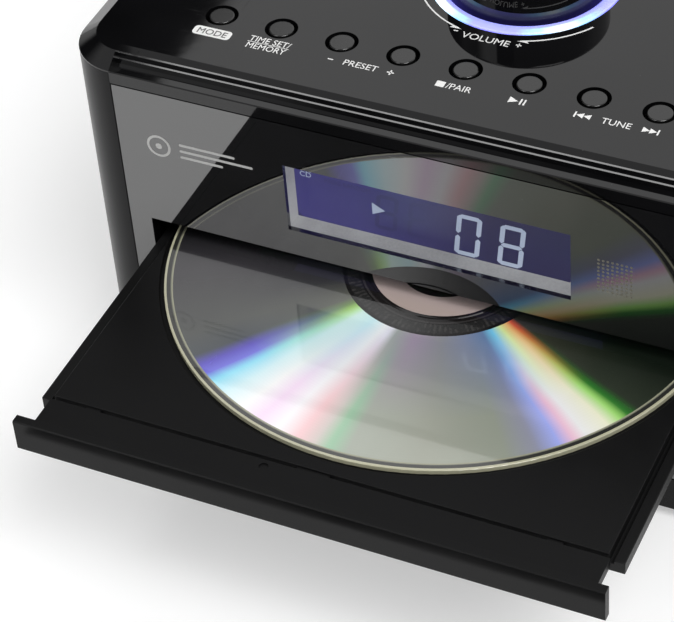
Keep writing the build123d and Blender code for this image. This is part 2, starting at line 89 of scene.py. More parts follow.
class Net:
    """One material's nodes, with short calls for the ones used here."""

    def __init__(self, name):
        self.mat = bpy.data.materials.new(name)
        self.mat.use_nodes = True
        self.tree = self.mat.node_tree
        self.tree.nodes.clear()
        self.out = self.tree.nodes.new("ShaderNodeOutputMaterial")
        self.coords = self.tree.nodes.new("ShaderNodeTexCoord").outputs["Object"]

    def put(self, socket, value):
        if isinstance(value, bpy.types.NodeSocket):
            self.tree.links.new(value, socket)
        else:
            socket.default_value = value

    def node(self, kind, ins, **props):
        n = self.tree.nodes.new("ShaderNode" + kind)
        for k, v in props.items():
            setattr(n, k, v)
        for k, v in ins.items():
            self.put(n.inputs[k], v)
        return n

    def math(self, op, a, b=0.0, c=0.0):
        return self.node("Math", {0: a, 1: b, 2: c}, operation=op).outputs[0]

    def remap(self, value, a, b, c=0.0, d=1.0, smooth=False):
        kind = "SMOOTHSTEP" if smooth else "LINEAR"
        n = self.node("MapRange", {0: value, 1: a, 2: b, 3: c, 4: d}, interpolation_type=kind)
        return n.outputs[0]

    def blend(self, fac, a, b):
        n = self.node("Mix", {}, data_type="RGBA")
        for socket, v in ((n.inputs[0], fac), (n.inputs[6], a), (n.inputs[7], b)):
            self.put(socket, v)
        return n.outputs[2]

    def noise(self, size, detail=2.0, vector=None, rough=0.5):
        """Noise whose features are about size millimetres across."""
        ins = {"Vector": vector or self.coords, "Scale": 1000.0 / size, "Detail": detail,
               "Roughness": rough}
        return self.node("TexNoise", ins).outputs[0]

    def stretched(self, x, y, z):
        ins = {"Vector": self.coords, "Scale": (x, y, z)}
        return self.node("Mapping", ins).outputs[0]

    def ramp(self, fac, stops, interpolation="LINEAR"):
        n = self.node("ValToRGB", {"Fac": fac})
        n.color_ramp.interpolation = interpolation
        while len(n.color_ramp.elements) < len(stops):
            n.color_ramp.elements.new(1.0)
        for e, (at, colour) in zip(n.color_ramp.elements, stops):
            e.position = at
            e.color = rgba(colour)
        return n.outputs[0]

    def bump(self, height, depth, normal=None):
        ins = {"Height": height, "Distance": depth * MM, "Strength": 1.0}
        if normal is not None:
            ins["Normal"] = normal
        return self.node("Bump", ins).outputs[0]

    def edges(self, width, low=0.02, high=0.2):
        """Bright where the surface turns within width millimetres."""
        soft = self.node("Bevel", {"Radius": width * MM}, samples=4).outputs[0]
        hard = self.tree.nodes.new("ShaderNodeNewGeometry").outputs["Normal"]
        dot = self.node("VectorMath", {0: soft, 1: hard}, operation="DOT_PRODUCT").outputs["Value"]
        return self.remap(self.math("SUBTRACT", 1.0, dot), low, high)

    def finish(self, **ins):
        named = {k.replace("_", " "): v for k, v in ins.items()}
        p = self.node("BsdfPrincipled", named)
        self.tree.links.new(p.outputs[0], self.out.inputs[0])
        return self.mat


def rgba(colour):
    return tuple(colour) + (1.0,) if len(colour) == 3 else tuple(colour)


def srgb(r, g, b):
    """A linear colour from display values of 0 to 255."""
    linear = [((c / 255 + 0.055) / 1.055) ** 2.4 if c > 10 else c / 255 / 12.92 for c in (r, g, b)]
    return tuple(linear) + (1.0,)


def shade(colour, by):
    return rgba([min(1.0, c * by) for c in colour[:3]])


def moulded(name, tint, rough, grain=0.3, depth=0.003, mottle=0.15, smear=0.2, wear=0.0, **extra):
    """Moulded or painted surface: fine grain, slow colour drift, uneven gloss, lighter edges."""
    n = Net(name)
    fine = n.noise(grain, 3.0)
    broad = n.noise(16.0, 3.0)
    base = n.blend(n.remap(broad, 0.35, 0.65), shade(tint, 1 - mottle), shade(tint, 1 + mottle))
    base = n.blend(n.remap(fine, 0.55, 0.8, 0.0, 0.5), base, shade(tint, 1 + 3 * mottle))
    if wear:
        base = n.blend(n.math("MULTIPLY", n.edges(0.3), wear), base, shade(tint, 4.0))
    gloss = n.math("ADD", n.math("MULTIPLY", fine, 0.5), n.math("MULTIPLY", broad, 0.5))
    gloss = n.remap(gloss, 0.3, 0.7, rough * (1 - smear), min(1.0, rough * (1 + smear)))
    return n.finish(Base_Color=base, Roughness=gloss, Normal=n.bump(fine, depth), **extra)


def lacquer(name, tint, ior=1.55, rough=0.03, dust=0.92, wear=0.0):
    """High-gloss black: hairline scratches, specks of dust and a faint orange peel."""
    n = Net(name)
    broad = n.noise(25.0, 2.0)
    hair = n.noise(0.5, 2.0, n.stretched(0.06, 1.4, 1.0))
    cross = n.noise(0.6, 2.0, n.stretched(1.3, 0.05, 1.0))
    lines = n.remap(n.math("MAXIMUM", hair, cross), 0.68, 0.8)
    cells = n.node("TexVoronoi", {"Vector": n.coords, "Scale": 1000.0 / 2.6})
    near = n.remap(cells.outputs["Distance"], 0.0, 0.05, 1.0, 0.0)
    pick = n.math("GREATER_THAN", n.node("SeparateColor", {0: cells.outputs["Color"]}).outputs[0], dust)
    speck = n.math("MULTIPLY", near, pick)
    base = n.blend(n.remap(broad, 0.35, 0.65), shade(tint, 0.8), shade(tint, 1.25))
    base = n.blend(n.math("MULTIPLY", speck, 0.6), base, (0.12, 0.12, 0.12, 1.0))
    if wear:
        base = n.blend(n.math("MULTIPLY", n.edges(0.2), wear), base, (0.06, 0.06, 0.065, 1.0))
    gloss = n.remap(broad, 0.3, 0.7, rough * 0.7, rough * 1.3)
    gloss = n.math("ADD", gloss, n.math("MULTIPLY", lines, 0.12))
    gloss = n.math("ADD", gloss, n.math("MULTIPLY", speck, 0.5))
    peel = n.bump(n.noise(3.5, 1.0), 0.0016)
    return n.finish(Base_Color=base, Roughness=gloss, Normal=peel, IOR=ior)


def metal(name, tint, rough, brush=(1.0, 1.0, 0.05), depth=0.001):
    """Rolled, turned or cast metal with a drawn grain and handling stains."""
    n = Net(name)
    grain = n.noise(0.35, 3.0, n.stretched(*brush))
    stain = n.noise(7.0, 4.0)
    base = n.blend(n.remap(stain, 0.3, 0.7), shade(tint, 0.8), shade(tint, 1.1))
    gloss = n.remap(grain, 0.3, 0.7, rough * 0.7, rough * 1.2)
    gloss = n.math("ADD", gloss, n.remap(stain, 0.4, 0.8, 0.0, 0.12))
    return n.finish(Base_Color=base, Roughness=gloss, Metallic=1.0, Normal=n.bump(grain, depth))


# ---------------------------------------------------------------- special materials


def offset_from(n, point):
    """Object position less a point, as x, y and z sockets in metres."""
    v = n.node("VectorMath", {0: n.coords, 1: tuple(point)}, operation="SUBTRACT").outputs[0]
    s = n.node("SeparateXYZ", {0: v})
    return s.outputs[0], s.outputs[1], s.outputs[2]


def polar(n, point):
    """Radius in millimetres and angle in degrees round a vertical axis through point."""
    x, y, _ = offset_from(n, point)
    r = n.math("SQRT", n.math("ADD", n.math("MULTIPLY", x, x), n.math("MULTIPLY", y, y)))
    a = n.math("MULTIPLY", n.math("ARCTAN2", y, x), 180 / math.pi)
    return n.math("MULTIPLY", r, 1000.0), a


# Painted diffraction highlights and reflections on the data area, outer and inner: degrees round half the
# disc, and display colour.
OUTER_PAINTED_GLINTS = ((0, 30, 30, 32), (12, 66, 64, 68), (32, 84, 86, 84), (39, 72, 78, 84), (42, 96, 84, 196),
                 (45, 120, 120, 228), (47.5, 150, 232, 255), (52, 222, 250, 255), (57, 255, 255, 255),
                 (62, 252, 226, 250), (67, 255, 252, 255), (72, 250, 206, 210), (76, 214, 204, 198),
                 (79, 156, 200, 166), (83, 168, 174, 162), (98, 162, 165, 152), (114, 152, 158, 144),
                 (120, 150, 152, 170), (124.5, 170, 182, 252), (127.5, 255, 206, 228), (130, 255, 255, 255),
                 (135, 255, 255, 226), (138, 172, 236, 122), (140, 46, 126, 44), (142.5, 48, 56, 44),
                 (155, 20, 27, 20), (180, 26, 26, 28))
INNER_PAINTED_GLINTS = ((0, 24, 24, 26), (22, 58, 58, 62), (38, 104, 106, 98), (42, 120, 150, 92),
                 (45, 166, 214, 116), (48, 196, 244, 178), (51, 222, 255, 246),
                 (60, 212, 250, 255), (68, 250, 255, 255),
                 (72, 236, 236, 246), (76, 166, 174, 168), (86, 166, 152, 170), (100, 144, 146, 152),
                 (112, 130, 140, 166), (122, 104, 132, 174), (127, 122, 212, 250), (132, 230, 250, 172),
                 (136, 250, 192, 122), (138.5, 220, 94, 64), (141.5, 60, 60, 50), (155, 18, 22, 18),
                 (180, 22, 22, 24))


PAINTED_GLINTS_TURN = 350.0        # degrees by which the painted highlights and reflections are turned round the disc
CODE_R, DATA_R, RIM_R = (18.6, 21.2), 22.0, 58.1        # code band, start of the data and clear rim, in mm


def disc_material_with_painted_glints():
    """Clear hub with moulded rings, a code band, the silver data area with painted diffraction highlights and
    reflections, and a clear rim with painted highlights at the metal's edge and the outer edge.
    """
    n = Net("disc_silver")
    r, angle = polar(n, DISC)
    wobble = n.math("MULTIPLY", n.math("SUBTRACT", n.noise(30.0, 1.0), 0.5), 3.0)
    turned = n.math("ADD", n.math("ADD", angle, PAINTED_GLINTS_TURN), wobble)
    half = n.math("FRACT", n.math("DIVIDE", turned, 180.0))
    # the data area's colour is painted diffraction highlights and reflections, bright and dark, fixed to the
    # disc
    outer = n.ramp(half, [(a / 180, srgb(*c)) for a, *c in OUTER_PAINTED_GLINTS])
    inner = n.ramp(half, [(a / 180, srgb(*c)) for a, *c in INNER_PAINTED_GLINTS])
    data = n.blend(n.remap(r, 24.0, 46.0), inner, outer)
    tracks = n.math("SINE", n.math("MULTIPLY", r, 9.0))
    data = n.blend(n.remap(tracks, -1.0, 1.0, 0.0, 0.015), data, (0.0, 0.0, 0.0, 1.0))
    ticks = n.math("SINE", n.math("MULTIPLY", angle, 2.0))
    mark = n.math("MULTIPLY", n.math("GREATER_THAN", ticks, 0.1), n.remap(n.noise(1.2), 0.45, 0.55))
    code = n.blend(n.math("MULTIPLY", mark, 0.6), srgb(36, 36, 36), srgb(66, 64, 63))
    rings = [(0.0, srgb(30, 24, 24)), (10.0, srgb(176, 160, 154)), (15.9, srgb(26, 24, 24)),
             (17.6, srgb(52, 50, 50)), (18.2, srgb(24, 23, 23))]
    hub = n.ramp(n.math("DIVIDE", r, 60.0), [(a / 60, c) for a, c in rings], "CONSTANT")
    in_code = n.math("MULTIPLY", n.math("GREATER_THAN", r, CODE_R[0]), n.math("LESS_THAN", r, CODE_R[1]))
    hub = n.blend(in_code, hub, code)
    base = n.blend(n.math("GREATER_THAN", r, DATA_R), hub, data)
    # clear rim: its own dark tone, with a painted highlight at the edge of the metal layer and another
    # painted highlight on the outer edge
    edge = n.ramp(n.math("SUBTRACT", r, 58.0), [(0.0, srgb(150, 150, 128)), (0.4, srgb(104, 104, 92)),
                                                (0.6, srgb(40, 41, 38))], "CONSTANT")
    edge = n.blend(n.math("GREATER_THAN", r, 59.45), edge, srgb(178, 176, 150))
    base = n.blend(n.math("GREATER_THAN", r, RIM_R), base, edge)
    silver = n.math("MULTIPLY", n.math("GREATER_THAN", r, DATA_R), n.math("LESS_THAN", r, RIM_R))
    smear = n.noise(9.0, 4.0, n.stretched(1.0, 0.4, 1.0))
    rough = n.remap(smear, 0.35, 0.75, 0.16, 0.3)
    tangent = n.node("Tangent", {}, direction_type="RADIAL", axis="Z").outputs[0]
    haze = n.bump(n.noise(0.8, 3.0), 0.0008)
    return n.finish(Base_Color=base, Metallic=n.math("MULTIPLY", silver, 0.18), Roughness=rough,
                    Anisotropic=0.8, Tangent=tangent, Coat_Weight=1.0, Coat_Roughness=0.03,
                    Coat_IOR=1.65, Coat_Normal=haze)


def ring_material():
    """Light guide lit from two sides: white-blue arcs that fall to violet between them."""
    n = Net("ring_white")
    r, angle = polar(n, KNOB)
    turned = n.math("DIVIDE", n.math("ADD", angle, 180.0), 360.0)
    violet, cyan, white = srgb(92, 84, 222), srgb(120, 196, 255), srgb(236, 250, 255)
    stops = [(0.0, cyan), (0.05, violet), (0.1, cyan), (0.14, white), (0.185, cyan), (0.215, violet),
             (0.29, violet), (0.33, cyan), (0.365, white), (0.4, cyan), (0.45, violet), (0.55, violet),
             (0.64, white), (0.7, cyan), (0.76, violet), (0.86, white), (0.93, violet)]
    arcs = n.ramp(turned, stops)
    depth = n.remap(r, 18.9, 19.7, smooth=True)
    glow = n.blend(depth, violet, arcs)
    power = n.math("ADD", 0.9, n.math("MULTIPLY", depth, 0.7))
    streaks = n.remap(n.noise(1.4, 3.0), 0.3, 0.7, 0.88, 1.1)
    power = n.math("MULTIPLY", power, streaks)
    return n.finish(Base_Color=n.blend(streaks, srgb(120, 130, 190), srgb(170, 180, 220)), Roughness=0.25,
                    Emission_Color=glow, Emission_Strength=power)


def lit(name, low, high, strength, grain=0.4, fade=1.0):
    """A backlit surface with a slow drift of brightness and fine grain, fading by a factor to the right."""
    n = Net(name)
    mixed = n.math("ADD", n.math("MULTIPLY", n.noise(14.0), 0.7), n.math("MULTIPLY", n.noise(grain), 0.3))
    tone = n.blend(n.remap(mixed, 0.35, 0.65), low, high)
    dull = n.blend(0.93, tone, (0.01, 0.01, 0.01, 1.0))
    x, _, _ = offset_from(n, ((LENS_LO.x + LENS_HI.x) / 2, 0, 0))
    glow = n.remap(x, -0.018, 0.012, strength, strength * fade)
    return n.finish(Base_Color=dull, Roughness=n.remap(mixed, 0.3, 0.7, 0.3, 0.45),
                    Emission_Color=tone, Emission_Strength=glow)


def board_material():
    """Green board with a grid of lighter copper lines under the lacquer."""
    n = Net("board_green")
    traces = n.node("TexBrick", {"Vector": n.stretched(1.0, 1.0, 1.0), "Scale": 160.0, "Mortar Size": 0.06,
                                 "Color1": srgb(16, 92, 46), "Color2": srgb(12, 78, 40),
                                 "Mortar": srgb(34, 124, 66)})
    weave = n.noise(0.5, 2.0)
    base = n.blend(n.remap(weave, 0.4, 0.7, 0.0, 0.3), traces.outputs[0], srgb(10, 60, 30))
    return n.finish(Base_Color=base, Roughness=n.remap(weave, 0.3, 0.7, 0.3, 0.45),
                    Normal=n.bump(traces.outputs[1], 0.02))


def clear_material(name, tint, ior):
    """Clear plastic or glass with a few smudges."""
    n = Net(name)
    smudge = n.remap(n.noise(8.0, 4.0), 0.5, 0.8, 0.0, 0.05)
    return n.finish(Base_Color=tint, Roughness=smudge, IOR=ior, Transmission_Weight=1.0)


MATERIALS = {
    "satin_black": moulded("satin_black", (0.004, 0.004, 0.0044), 0.3, 0.3, 0.002, wear=0.2,
                           Specular_IOR_Level=0.15),
    "shell_black": moulded("shell_black", (0.006, 0.006, 0.0065), 0.34, 0.45, 0.006, wear=0.2),
    "piano_black": lacquer("piano_black", (0.003, 0.003, 0.0034), 1.52),
    "base_black": moulded("base_black", (0.012, 0.012, 0.012), 0.5, 0.6, 0.01),
    "foot_rubber": moulded("foot_rubber", (0.015, 0.015, 0.015), 0.75, 0.4, 0.01),
    "clear_acrylic": clear_material("clear_acrylic", (0.98, 0.98, 0.99, 1.0), 1.02),
    "bezel_grey": lit("bezel_grey", srgb(126, 127, 129), srgb(158, 159, 161), 0.8),
    "lcd_blue": lit("lcd_back", srgb(48, 47, 92), srgb(56, 54, 104), 0.6),
    "board_green": board_material(),
    "dark_epoxy": moulded("dark_epoxy", (0.02, 0.02, 0.022), 0.55, 0.4, 0.008),
    "ring_white": ring_material(),
    "encoder_zinc": metal("encoder_zinc", (0.55, 0.55, 0.56), 0.4),
    "tray_black": moulded("tray_black", (0.0042, 0.0042, 0.0044), 0.42, 0.35, 0.004, wear=0.3,
                          Specular_IOR_Level=0.16),
    "disc_silver": disc_material_with_painted_glints(),
    "chassis_grey": moulded("chassis_grey", (0.1, 0.1, 0.105), 0.5, 0.5, 0.008),
    "gear_white": moulded("gear_white", (0.72, 0.71, 0.67), 0.4, 0.5, 0.003, 0.06),
    "motor_steel": metal("motor_steel", (0.6, 0.6, 0.6), 0.28, (1.0, 1.0, 0.08)),
    "deck_steel": metal("deck_steel", (0.5, 0.51, 0.52), 0.35, (0.06, 1.0, 1.0)),
    "turntable_black": moulded("turntable_black", (0.02, 0.02, 0.02), 0.45, 0.4, 0.004),
    "lens_clear": clear_material("lens_clear", (0.6, 0.62, 0.85, 1.0), 1.5),
    "shield_tin": metal("shield_tin", (0.66, 0.66, 0.63), 0.25, (1.0, 0.1, 1.0)),
    "core_steel": metal("core_steel", (0.25, 0.25, 0.26), 0.5, (0.03, 1.0, 1.0), 0.01),
    "coil_tape": moulded("coil_tape", (0.5, 0.36, 0.06), 0.3, 1.2, 0.02),
    "heatsink_alu": metal("heatsink_alu", (0.4, 0.4, 0.41), 0.4, (1.0, 1.0, 0.05)),
    "capacitor_sleeve": moulded("capacitor_sleeve", (0.02, 0.03, 0.09), 0.3, 0.8, 0.004),
    "jack_black": moulded("jack_black", (0.016, 0.016, 0.016), 0.4, 0.5, 0.005),
    "socket_brass": metal("socket_brass", (0.72, 0.55, 0.24), 0.3),
    "screw_black": metal("screw_black", (0.06, 0.06, 0.062), 0.35, (1.0, 1.0, 1.0)),
}
mirror_black = lacquer("window_black", (0.0035, 0.0035, 0.004), 2.25, 0.015)
cap_black = lacquer("cap_black", (0.006, 0.006, 0.006), 1.62, 0.12)
print_white = moulded("print_white", (0.78, 0.78, 0.77), 0.55, 0.2, 0.001, 0.05)
print_dark = moulded("print_dark", (0.02, 0.02, 0.02), 0.5, 0.2, 0.001, 0.05)
print_silver = moulded("print_silver", (0.42, 0.42, 0.41), 0.4, 0.2, 0.001, 0.06)
dot_grey = moulded("dot_grey", (0.13, 0.125, 0.1), 0.5, 0.3, 0.001, 0.1)
lcd_field = lit("lcd_field", srgb(54, 51, 108), srgb(62, 58, 120), 0.8, fade=0.35)
lcd_bright = lit("lcd_bright", srgb(152, 164, 184), srgb(168, 180, 200), 0.85)
lcd_ghost = lit("lcd_ghost", srgb(46, 43, 92), srgb(52, 48, 102), 0.72)

SPECIAL = {"front_window": mirror_black}
for node, obj in NODES.items():
    chosen = SPECIAL.get(node, MATERIALS[SLOT_OF[node]])
    if node.startswith("button_") and node != "button_board":
        chosen = cap_black
    for slot in obj.material_slots:
        slot.link = "OBJECT"
        slot.material = chosen

# ---------------------------------------------------------------- mesh helpers


def add_piece(name, mesh, material, body, smooth=False):
    obj = bpy.data.objects.new(name, mesh)
    bpy.context.scene.collection.objects.link(obj)
    mesh.materials.clear()
    mesh.materials.append(material)
    for p in mesh.polygons:
        p.use_smooth = smooth
    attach(obj, body)
    return obj


def softened(node, width):
    """A copy of a CAD node with its hard edges rounded, which stands for it."""
    mesh = NODES[node].data.copy()
    bm = bmesh.new()
    bm.from_mesh(mesh)
    bmesh.ops.remove_doubles(bm, verts=bm.verts, dist=2e-6)
    bmesh.ops.dissolve_limit(bm, angle_limit=math.radians(0.6), verts=bm.verts, edges=bm.edges)
    bm.to_mesh(mesh)
    bm.free()
    for p in mesh.polygons:
        p.use_smooth = True
    mesh.set_sharp_from_angle(angle=math.radians(60))
    obj = bpy.data.objects.new(node + "_soft", mesh)
    bpy.context.scene.collection.objects.link(obj)
    mod = obj.modifiers.new("edge", "BEVEL")
    mod.width = width * MM
    mod.segments = 2
    mod.limit_method = "ANGLE"
    mod.angle_limit = math.radians(35)
    mod.use_clamp_overlap = True
    even = obj.modifiers.new("even", "WEIGHTED_NORMAL")
    even.keep_sharp = True
    even.weight = 100
    bpy.context.view_layer.update()
    done = bpy.data.meshes.new_from_object(obj.evaluated_get(bpy.context.evaluated_depsgraph_get()))
    obj.modifiers.clear()
    obj.data = done
    material = NODES[node].material_slots[0].material
    done.materials.clear()
    done.materials.append(material)
    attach(obj, BODY_OF[node])
    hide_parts(node)
    return obj


def on_top(x, y, z=TOP):
    return Matrix.Translation((x, y, z))


def on_front(x, z, y=FRONT):
    return Matrix.Translation((x, y, z)) @ Matrix(((1, 0, 0, 0), (0, 0, -1, 0), (0, 1, 0, 0), (0, 0, 0, 1)))


def on_rear(x, z, y=REAR):
    return Matrix.Translation((x, y, z)) @ Matrix(((-1, 0, 0, 0), (0, 0, 1, 0), (0, 1, 0, 0), (0, 0, 0, 1)))


class Print:
    """Flat shapes in millimetres on a face, gathered into one thin solid piece."""

    def __init__(self, proud=0.03):
        self.bm = bmesh.new()
        self.proud = proud

    def shape(self, points, place):
        low = [self.bm.verts.new(place @ Vector((x * MM, y * MM, -0.01 * MM))) for x, y in points]
        high = [self.bm.verts.new(place @ Vector((x * MM, y * MM, self.proud * MM))) for x, y in points]
        self.bm.faces.new(low[::-1])
        self.bm.faces.new(high)
        for i in range(len(points)):
            j = (i + 1) % len(points)
            self.bm.faces.new((low[i], low[j], high[j], high[i]))

    def text(self, words, height, place, squeeze=0.86):
        font = bpy.data.curves.new("words", "FONT")
        font.body = words
        font.size = height / 0.69 * MM
        font.align_x = "CENTER"
        font.extrude = (self.proud + 0.01) / 2 * MM
        font.resolution_u = 3
        obj = bpy.data.objects.new("words", font)
        bpy.context.scene.collection.objects.link(obj)
        bpy.context.view_layer.update()
        mesh = bpy.data.meshes.new_from_object(obj.evaluated_get(bpy.context.evaluated_depsgraph_get()))
        bpy.data.objects.remove(obj)
        bpy.data.curves.remove(font)
        lift = Matrix.Translation((0, -height / 2 * MM, (self.proud - 0.01) / 2 * MM))
        mesh.transform(place @ lift @ Matrix.Diagonal((squeeze, 1, 1, 1)))
        self.bm.from_mesh(mesh)
        bpy.data.meshes.remove(mesh)

    def piece(self, name, material, body="cabinet"):
        bmesh.ops.remove_doubles(self.bm, verts=self.bm.verts, dist=1e-7)
        bmesh.ops.recalc_face_normals(self.bm, faces=self.bm.faces)
        mesh = bpy.data.meshes.new(name)
        self.bm.to_mesh(mesh)
        self.bm.free()
        return add_piece(name, mesh, material, body)


def rounded(w, h, r, steps=5, sharp=()):
    """Corner points of a rounded rectangle; corners run anticlockwise from the lower right."""
    points = []
    for k, (sign_x, sign_y) in enumerate(((1, -1), (1, 1), (-1, 1), (-1, -1))):
        q = 0.02 if k in sharp else r
        for i in range(steps + 1):
            a = math.radians(-90 + 90 * k + 90 * i / steps)
            points.append((sign_x * (w / 2 - q) + q * math.cos(a), sign_y * (h / 2 - q) + q * math.sin(a)))
    return points


def circle(r, steps=20, x=0.0, y=0.0):
    return [(x + r * math.cos(2 * math.pi * i / steps), y + r * math.sin(2 * math.pi * i / steps))
            for i in range(steps)]


def arc_band(r, half, a0, a1, steps=24):
    angles = [math.radians(a0 + (a1 - a0) * i / steps) for i in range(steps + 1)]
    outer = [((r + half) * math.cos(a), (r + half) * math.sin(a)) for a in angles]
    inner = [((r - half) * math.cos(a), (r - half) * math.sin(a)) for a in reversed(angles)]
    return outer + inner


def triangle(x, y, w, h):
    """A solid arrow of width w, pointing right, or left if w is negative."""
    pts = [(x - w / 2, y - h / 2), (x + w / 2, y), (x - w / 2, y + h / 2)]
    return pts if w > 0 else pts[::-1]


def box_points(x, y, w, h):
    return [(x - w / 2, y - h / 2), (x + w / 2, y - h / 2), (x + w / 2, y + h / 2), (x - w / 2, y + h / 2)]


# ---------------------------------------------------------------- rounded copies of the outer parts

for node, width in (("tray_door", 0.3), ("tray_plate", 0.18), ("front_frame", 0.3), ("cabinet_shell", 0.3)):
    softened(node, width)

# ---------------------------------------------------------------- printing on the top

BUTTON_NAMES = ("mode", "memory", "preset_down", "preset_up", "stop", "play", "tune_down", "tune_up", "eject")
BUTTONS = [centre("button_" + name).x / MM for name in BUTTON_NAMES]
ROW = centre("button_mode").y
LINE = ROW - 6.1 * MM       # the legends run in front of the buttons
legend = Print()
pill = Print(0.02)
pill.shape(rounded(8.6, 2.9, 0.9), on_top(BUTTONS[0] * MM + 0.7 * MM, LINE))
pill.piece("mode_plate", print_white)
word = Print(0.05)
word.text("MODE", 1.75, on_top(BUTTONS[0] * MM + 0.7 * MM, LINE), 0.95)
word.piece("mode_word", print_dark)
legend.text("TIME SET/", 1.75, on_top((BUTTONS[1] - 0.2) * MM, LINE + 1.15 * MM))
legend.text("MEMORY", 1.75, on_top((BUTTONS[1] - 0.2) * MM, LINE - 1.15 * MM))
legend.shape(box_points(0, 0, 9.4, 0.14), on_top((BUTTONS[1] - 0.2) * MM, LINE))
legend.text("PRESET", 1.75, on_top((BUTTONS[2] + BUTTONS[3]) / 2 * MM, LINE + 0.1 * MM), 0.95)
legend.shape(box_points(0, 0, 1.2, 0.3), on_top((BUTTONS[2] + 0.2) * MM, LINE))
legend.shape(box_points(0, 0, 1.5, 0.32), on_top((BUTTONS[3] - 0.2) * MM, LINE))
legend.shape(box_points(0, 0, 0.32, 1.5), on_top((BUTTONS[3] - 0.2) * MM, LINE))
legend.shape(box_points(-3.0, 0, 1.9, 1.75), on_top(0, LINE))
legend.text("/PAIR", 1.75, on_top(1.0 * MM, LINE), 0.92)
legend.shape(triangle(-1.0, 0, 1.9, 1.9), on_top(BUTTONS[5] * MM, LINE))
for dx in (0.55, 1.35):
    legend.shape(box_points(dx, 0, 0.36, 1.8), on_top(BUTTONS[5] * MM, LINE))
for side, x in ((-1, BUTTONS[6]), (1, BUTTONS[7])):
    legend.shape(box_points(side * 1.75, 0, 0.34, 1.7), on_top(x * MM, LINE))
    for dx in (-0.75, 0.75):
        legend.shape(triangle(dx, 0, side * 1.5, 1.6), on_top(x * MM, LINE))
legend.text("TUNE", 1.75, on_top((BUTTONS[6] + BUTTONS[7]) / 2 * MM, LINE), 0.95)
legend.shape(triangle(0, 0.35, 1.0, 1.0), on_top(BUTTONS[8] * MM, LINE))
knob_xy = (KNOB.x, KNOB.y)
legend.text("VOLUME", 1.9, on_top(KNOB.x, KNOB.y - 23.6 * MM), 0.98)
legend.shape(box_points(-6.9, -22.9, 1.0, 0.26), on_top(*knob_xy))
legend.shape(box_points(7.1, -23.3, 1.2, 0.28), on_top(*knob_xy))
legend.shape(box_points(7.1, -23.3, 0.28, 1.2), on_top(*knob_xy))
for a0, a1, turn in ((-147, -107, 1), (-33, -72.5, -1)):
    legend.shape(arc_band(22.9, 0.17, min(a0, a1), max(a0, a1)), on_top(*knob_xy))
    tip = math.radians(a1)
    head = [(r * math.cos(a), r * math.sin(a)) for r, a in
            ((22.9, tip + turn * 0.03), (23.75, tip - turn * 0.075), (22.9, tip - turn * 0.055))]
    legend.shape(head if turn > 0 else head[::-1], on_top(*knob_xy, TOP + 0.002 * MM))
legend.piece("top_legend", print_white)

# ---------------------------------------------------------------- display

LCD_W = (LENS_HI.x - LENS_LO.x) / MM + 0.2
LCD_X = (LENS_HI.x + LENS_LO.x) / 2
LCD_BOTTOM, LCD_TOP = LENS_LO.z / MM - 0.1, LENS_HI.z / MM + 0.1
field = Print(0.04)
field.shape(rounded(LCD_W - 0.1, LCD_TOP - LCD_BOTTOM - 0.1, 1.9, 6, (0,)),
            on_front(LCD_X, (LCD_TOP + LCD_BOTTOM) / 2 * MM, LCD_Y))
field.piece("lcd_field", lcd_field)

SEGMENTS = {"8": "abcdefg", "0": "abcdef"}


def digit(target, x, bottom, w, h, t, lit_segments, y):
    """Seven bevelled bars, leaning a little to the right."""
    mid = h / 2
    bars = {"a": (0, h - t / 2, 0), "g": (0, mid, 0), "d": (0, t / 2, 0),
            "f": (-w / 2 + t / 2, (h + mid) / 2, 1), "b": (w / 2 - t / 2, (h + mid) / 2, 1),
            "e": (-w / 2 + t / 2, mid / 2, 1), "c": (w / 2 - t / 2, mid / 2, 1)}
    for name in lit_segments:
        bx, bz, upright = bars[name]
        length = (mid - t * 0.2) if upright else (w - t * 0.55)
        run, half = length / 2 - 0.16, t / 2
        pts = [(-run, 0), (-run + half, -half), (run - half, -half),
               (run, 0), (run - half, half), (-run + half, half)]
        if upright:
            pts = [(-py, px) for px, py in pts]
        pts = [(bx + px + 0.11 * (bz + pz), bz + pz) for px, pz in pts]
        target.shape(pts, on_front(x * MM, bottom * MM, y))


glyphs = Print(0.02)
ghosts = Print(0.015)
glyph_y = LCD_Y - 0.045 * MM
DIGIT_BOTTOM = LCD_BOTTOM + 0.35
digit(glyphs, 6.1, DIGIT_BOTTOM, 5.5, 11.0, 1.05, SEGMENTS["0"], glyph_y)
digit(glyphs, 15.6, DIGIT_BOTTOM, 5.5, 11.0, 1.05, SEGMENTS["8"], glyph_y)
glyphs.shape(triangle(-13.2, 6.7, 2.9, 3.1), on_front(0, DIGIT_BOTTOM * MM, glyph_y))
glyphs.text("CD", 1.3, on_front(-29.5 * MM, (DIGIT_BOTTOM + 11.6) * MM, glyph_y), 1.0)
for gx in (-11.9, -4.6):
    digit(ghosts, gx, DIGIT_BOTTOM + 1.6, 5.0, 9.4, 0.95, SEGMENTS["8"], glyph_y + 0.01 * MM)
ghosts.text("PROG RANDOM", 1.1, on_front(-20 * MM, (DIGIT_BOTTOM + 11.2) * MM, glyph_y), 0.9)
glyphs.piece("lcd_digits", lcd_bright)
ghosts.piece("lcd_ghosts", lcd_ghost)

# ---------------------------------------------------------------- window: sensor dots and a plain emblem

sensor = centre("ir_receiver")
DOT_PITCH = 0.98 * MM
dots = Print(0.015)
for col in range(8):
    for row in range(9):
        dots.shape(circle(0.3, 8), on_front(sensor.x + (col - 3.5) * DOT_PITCH,
                                            sensor.z + (row - 4) * DOT_PITCH))
dots.piece("sensor_dots", dot_grey)

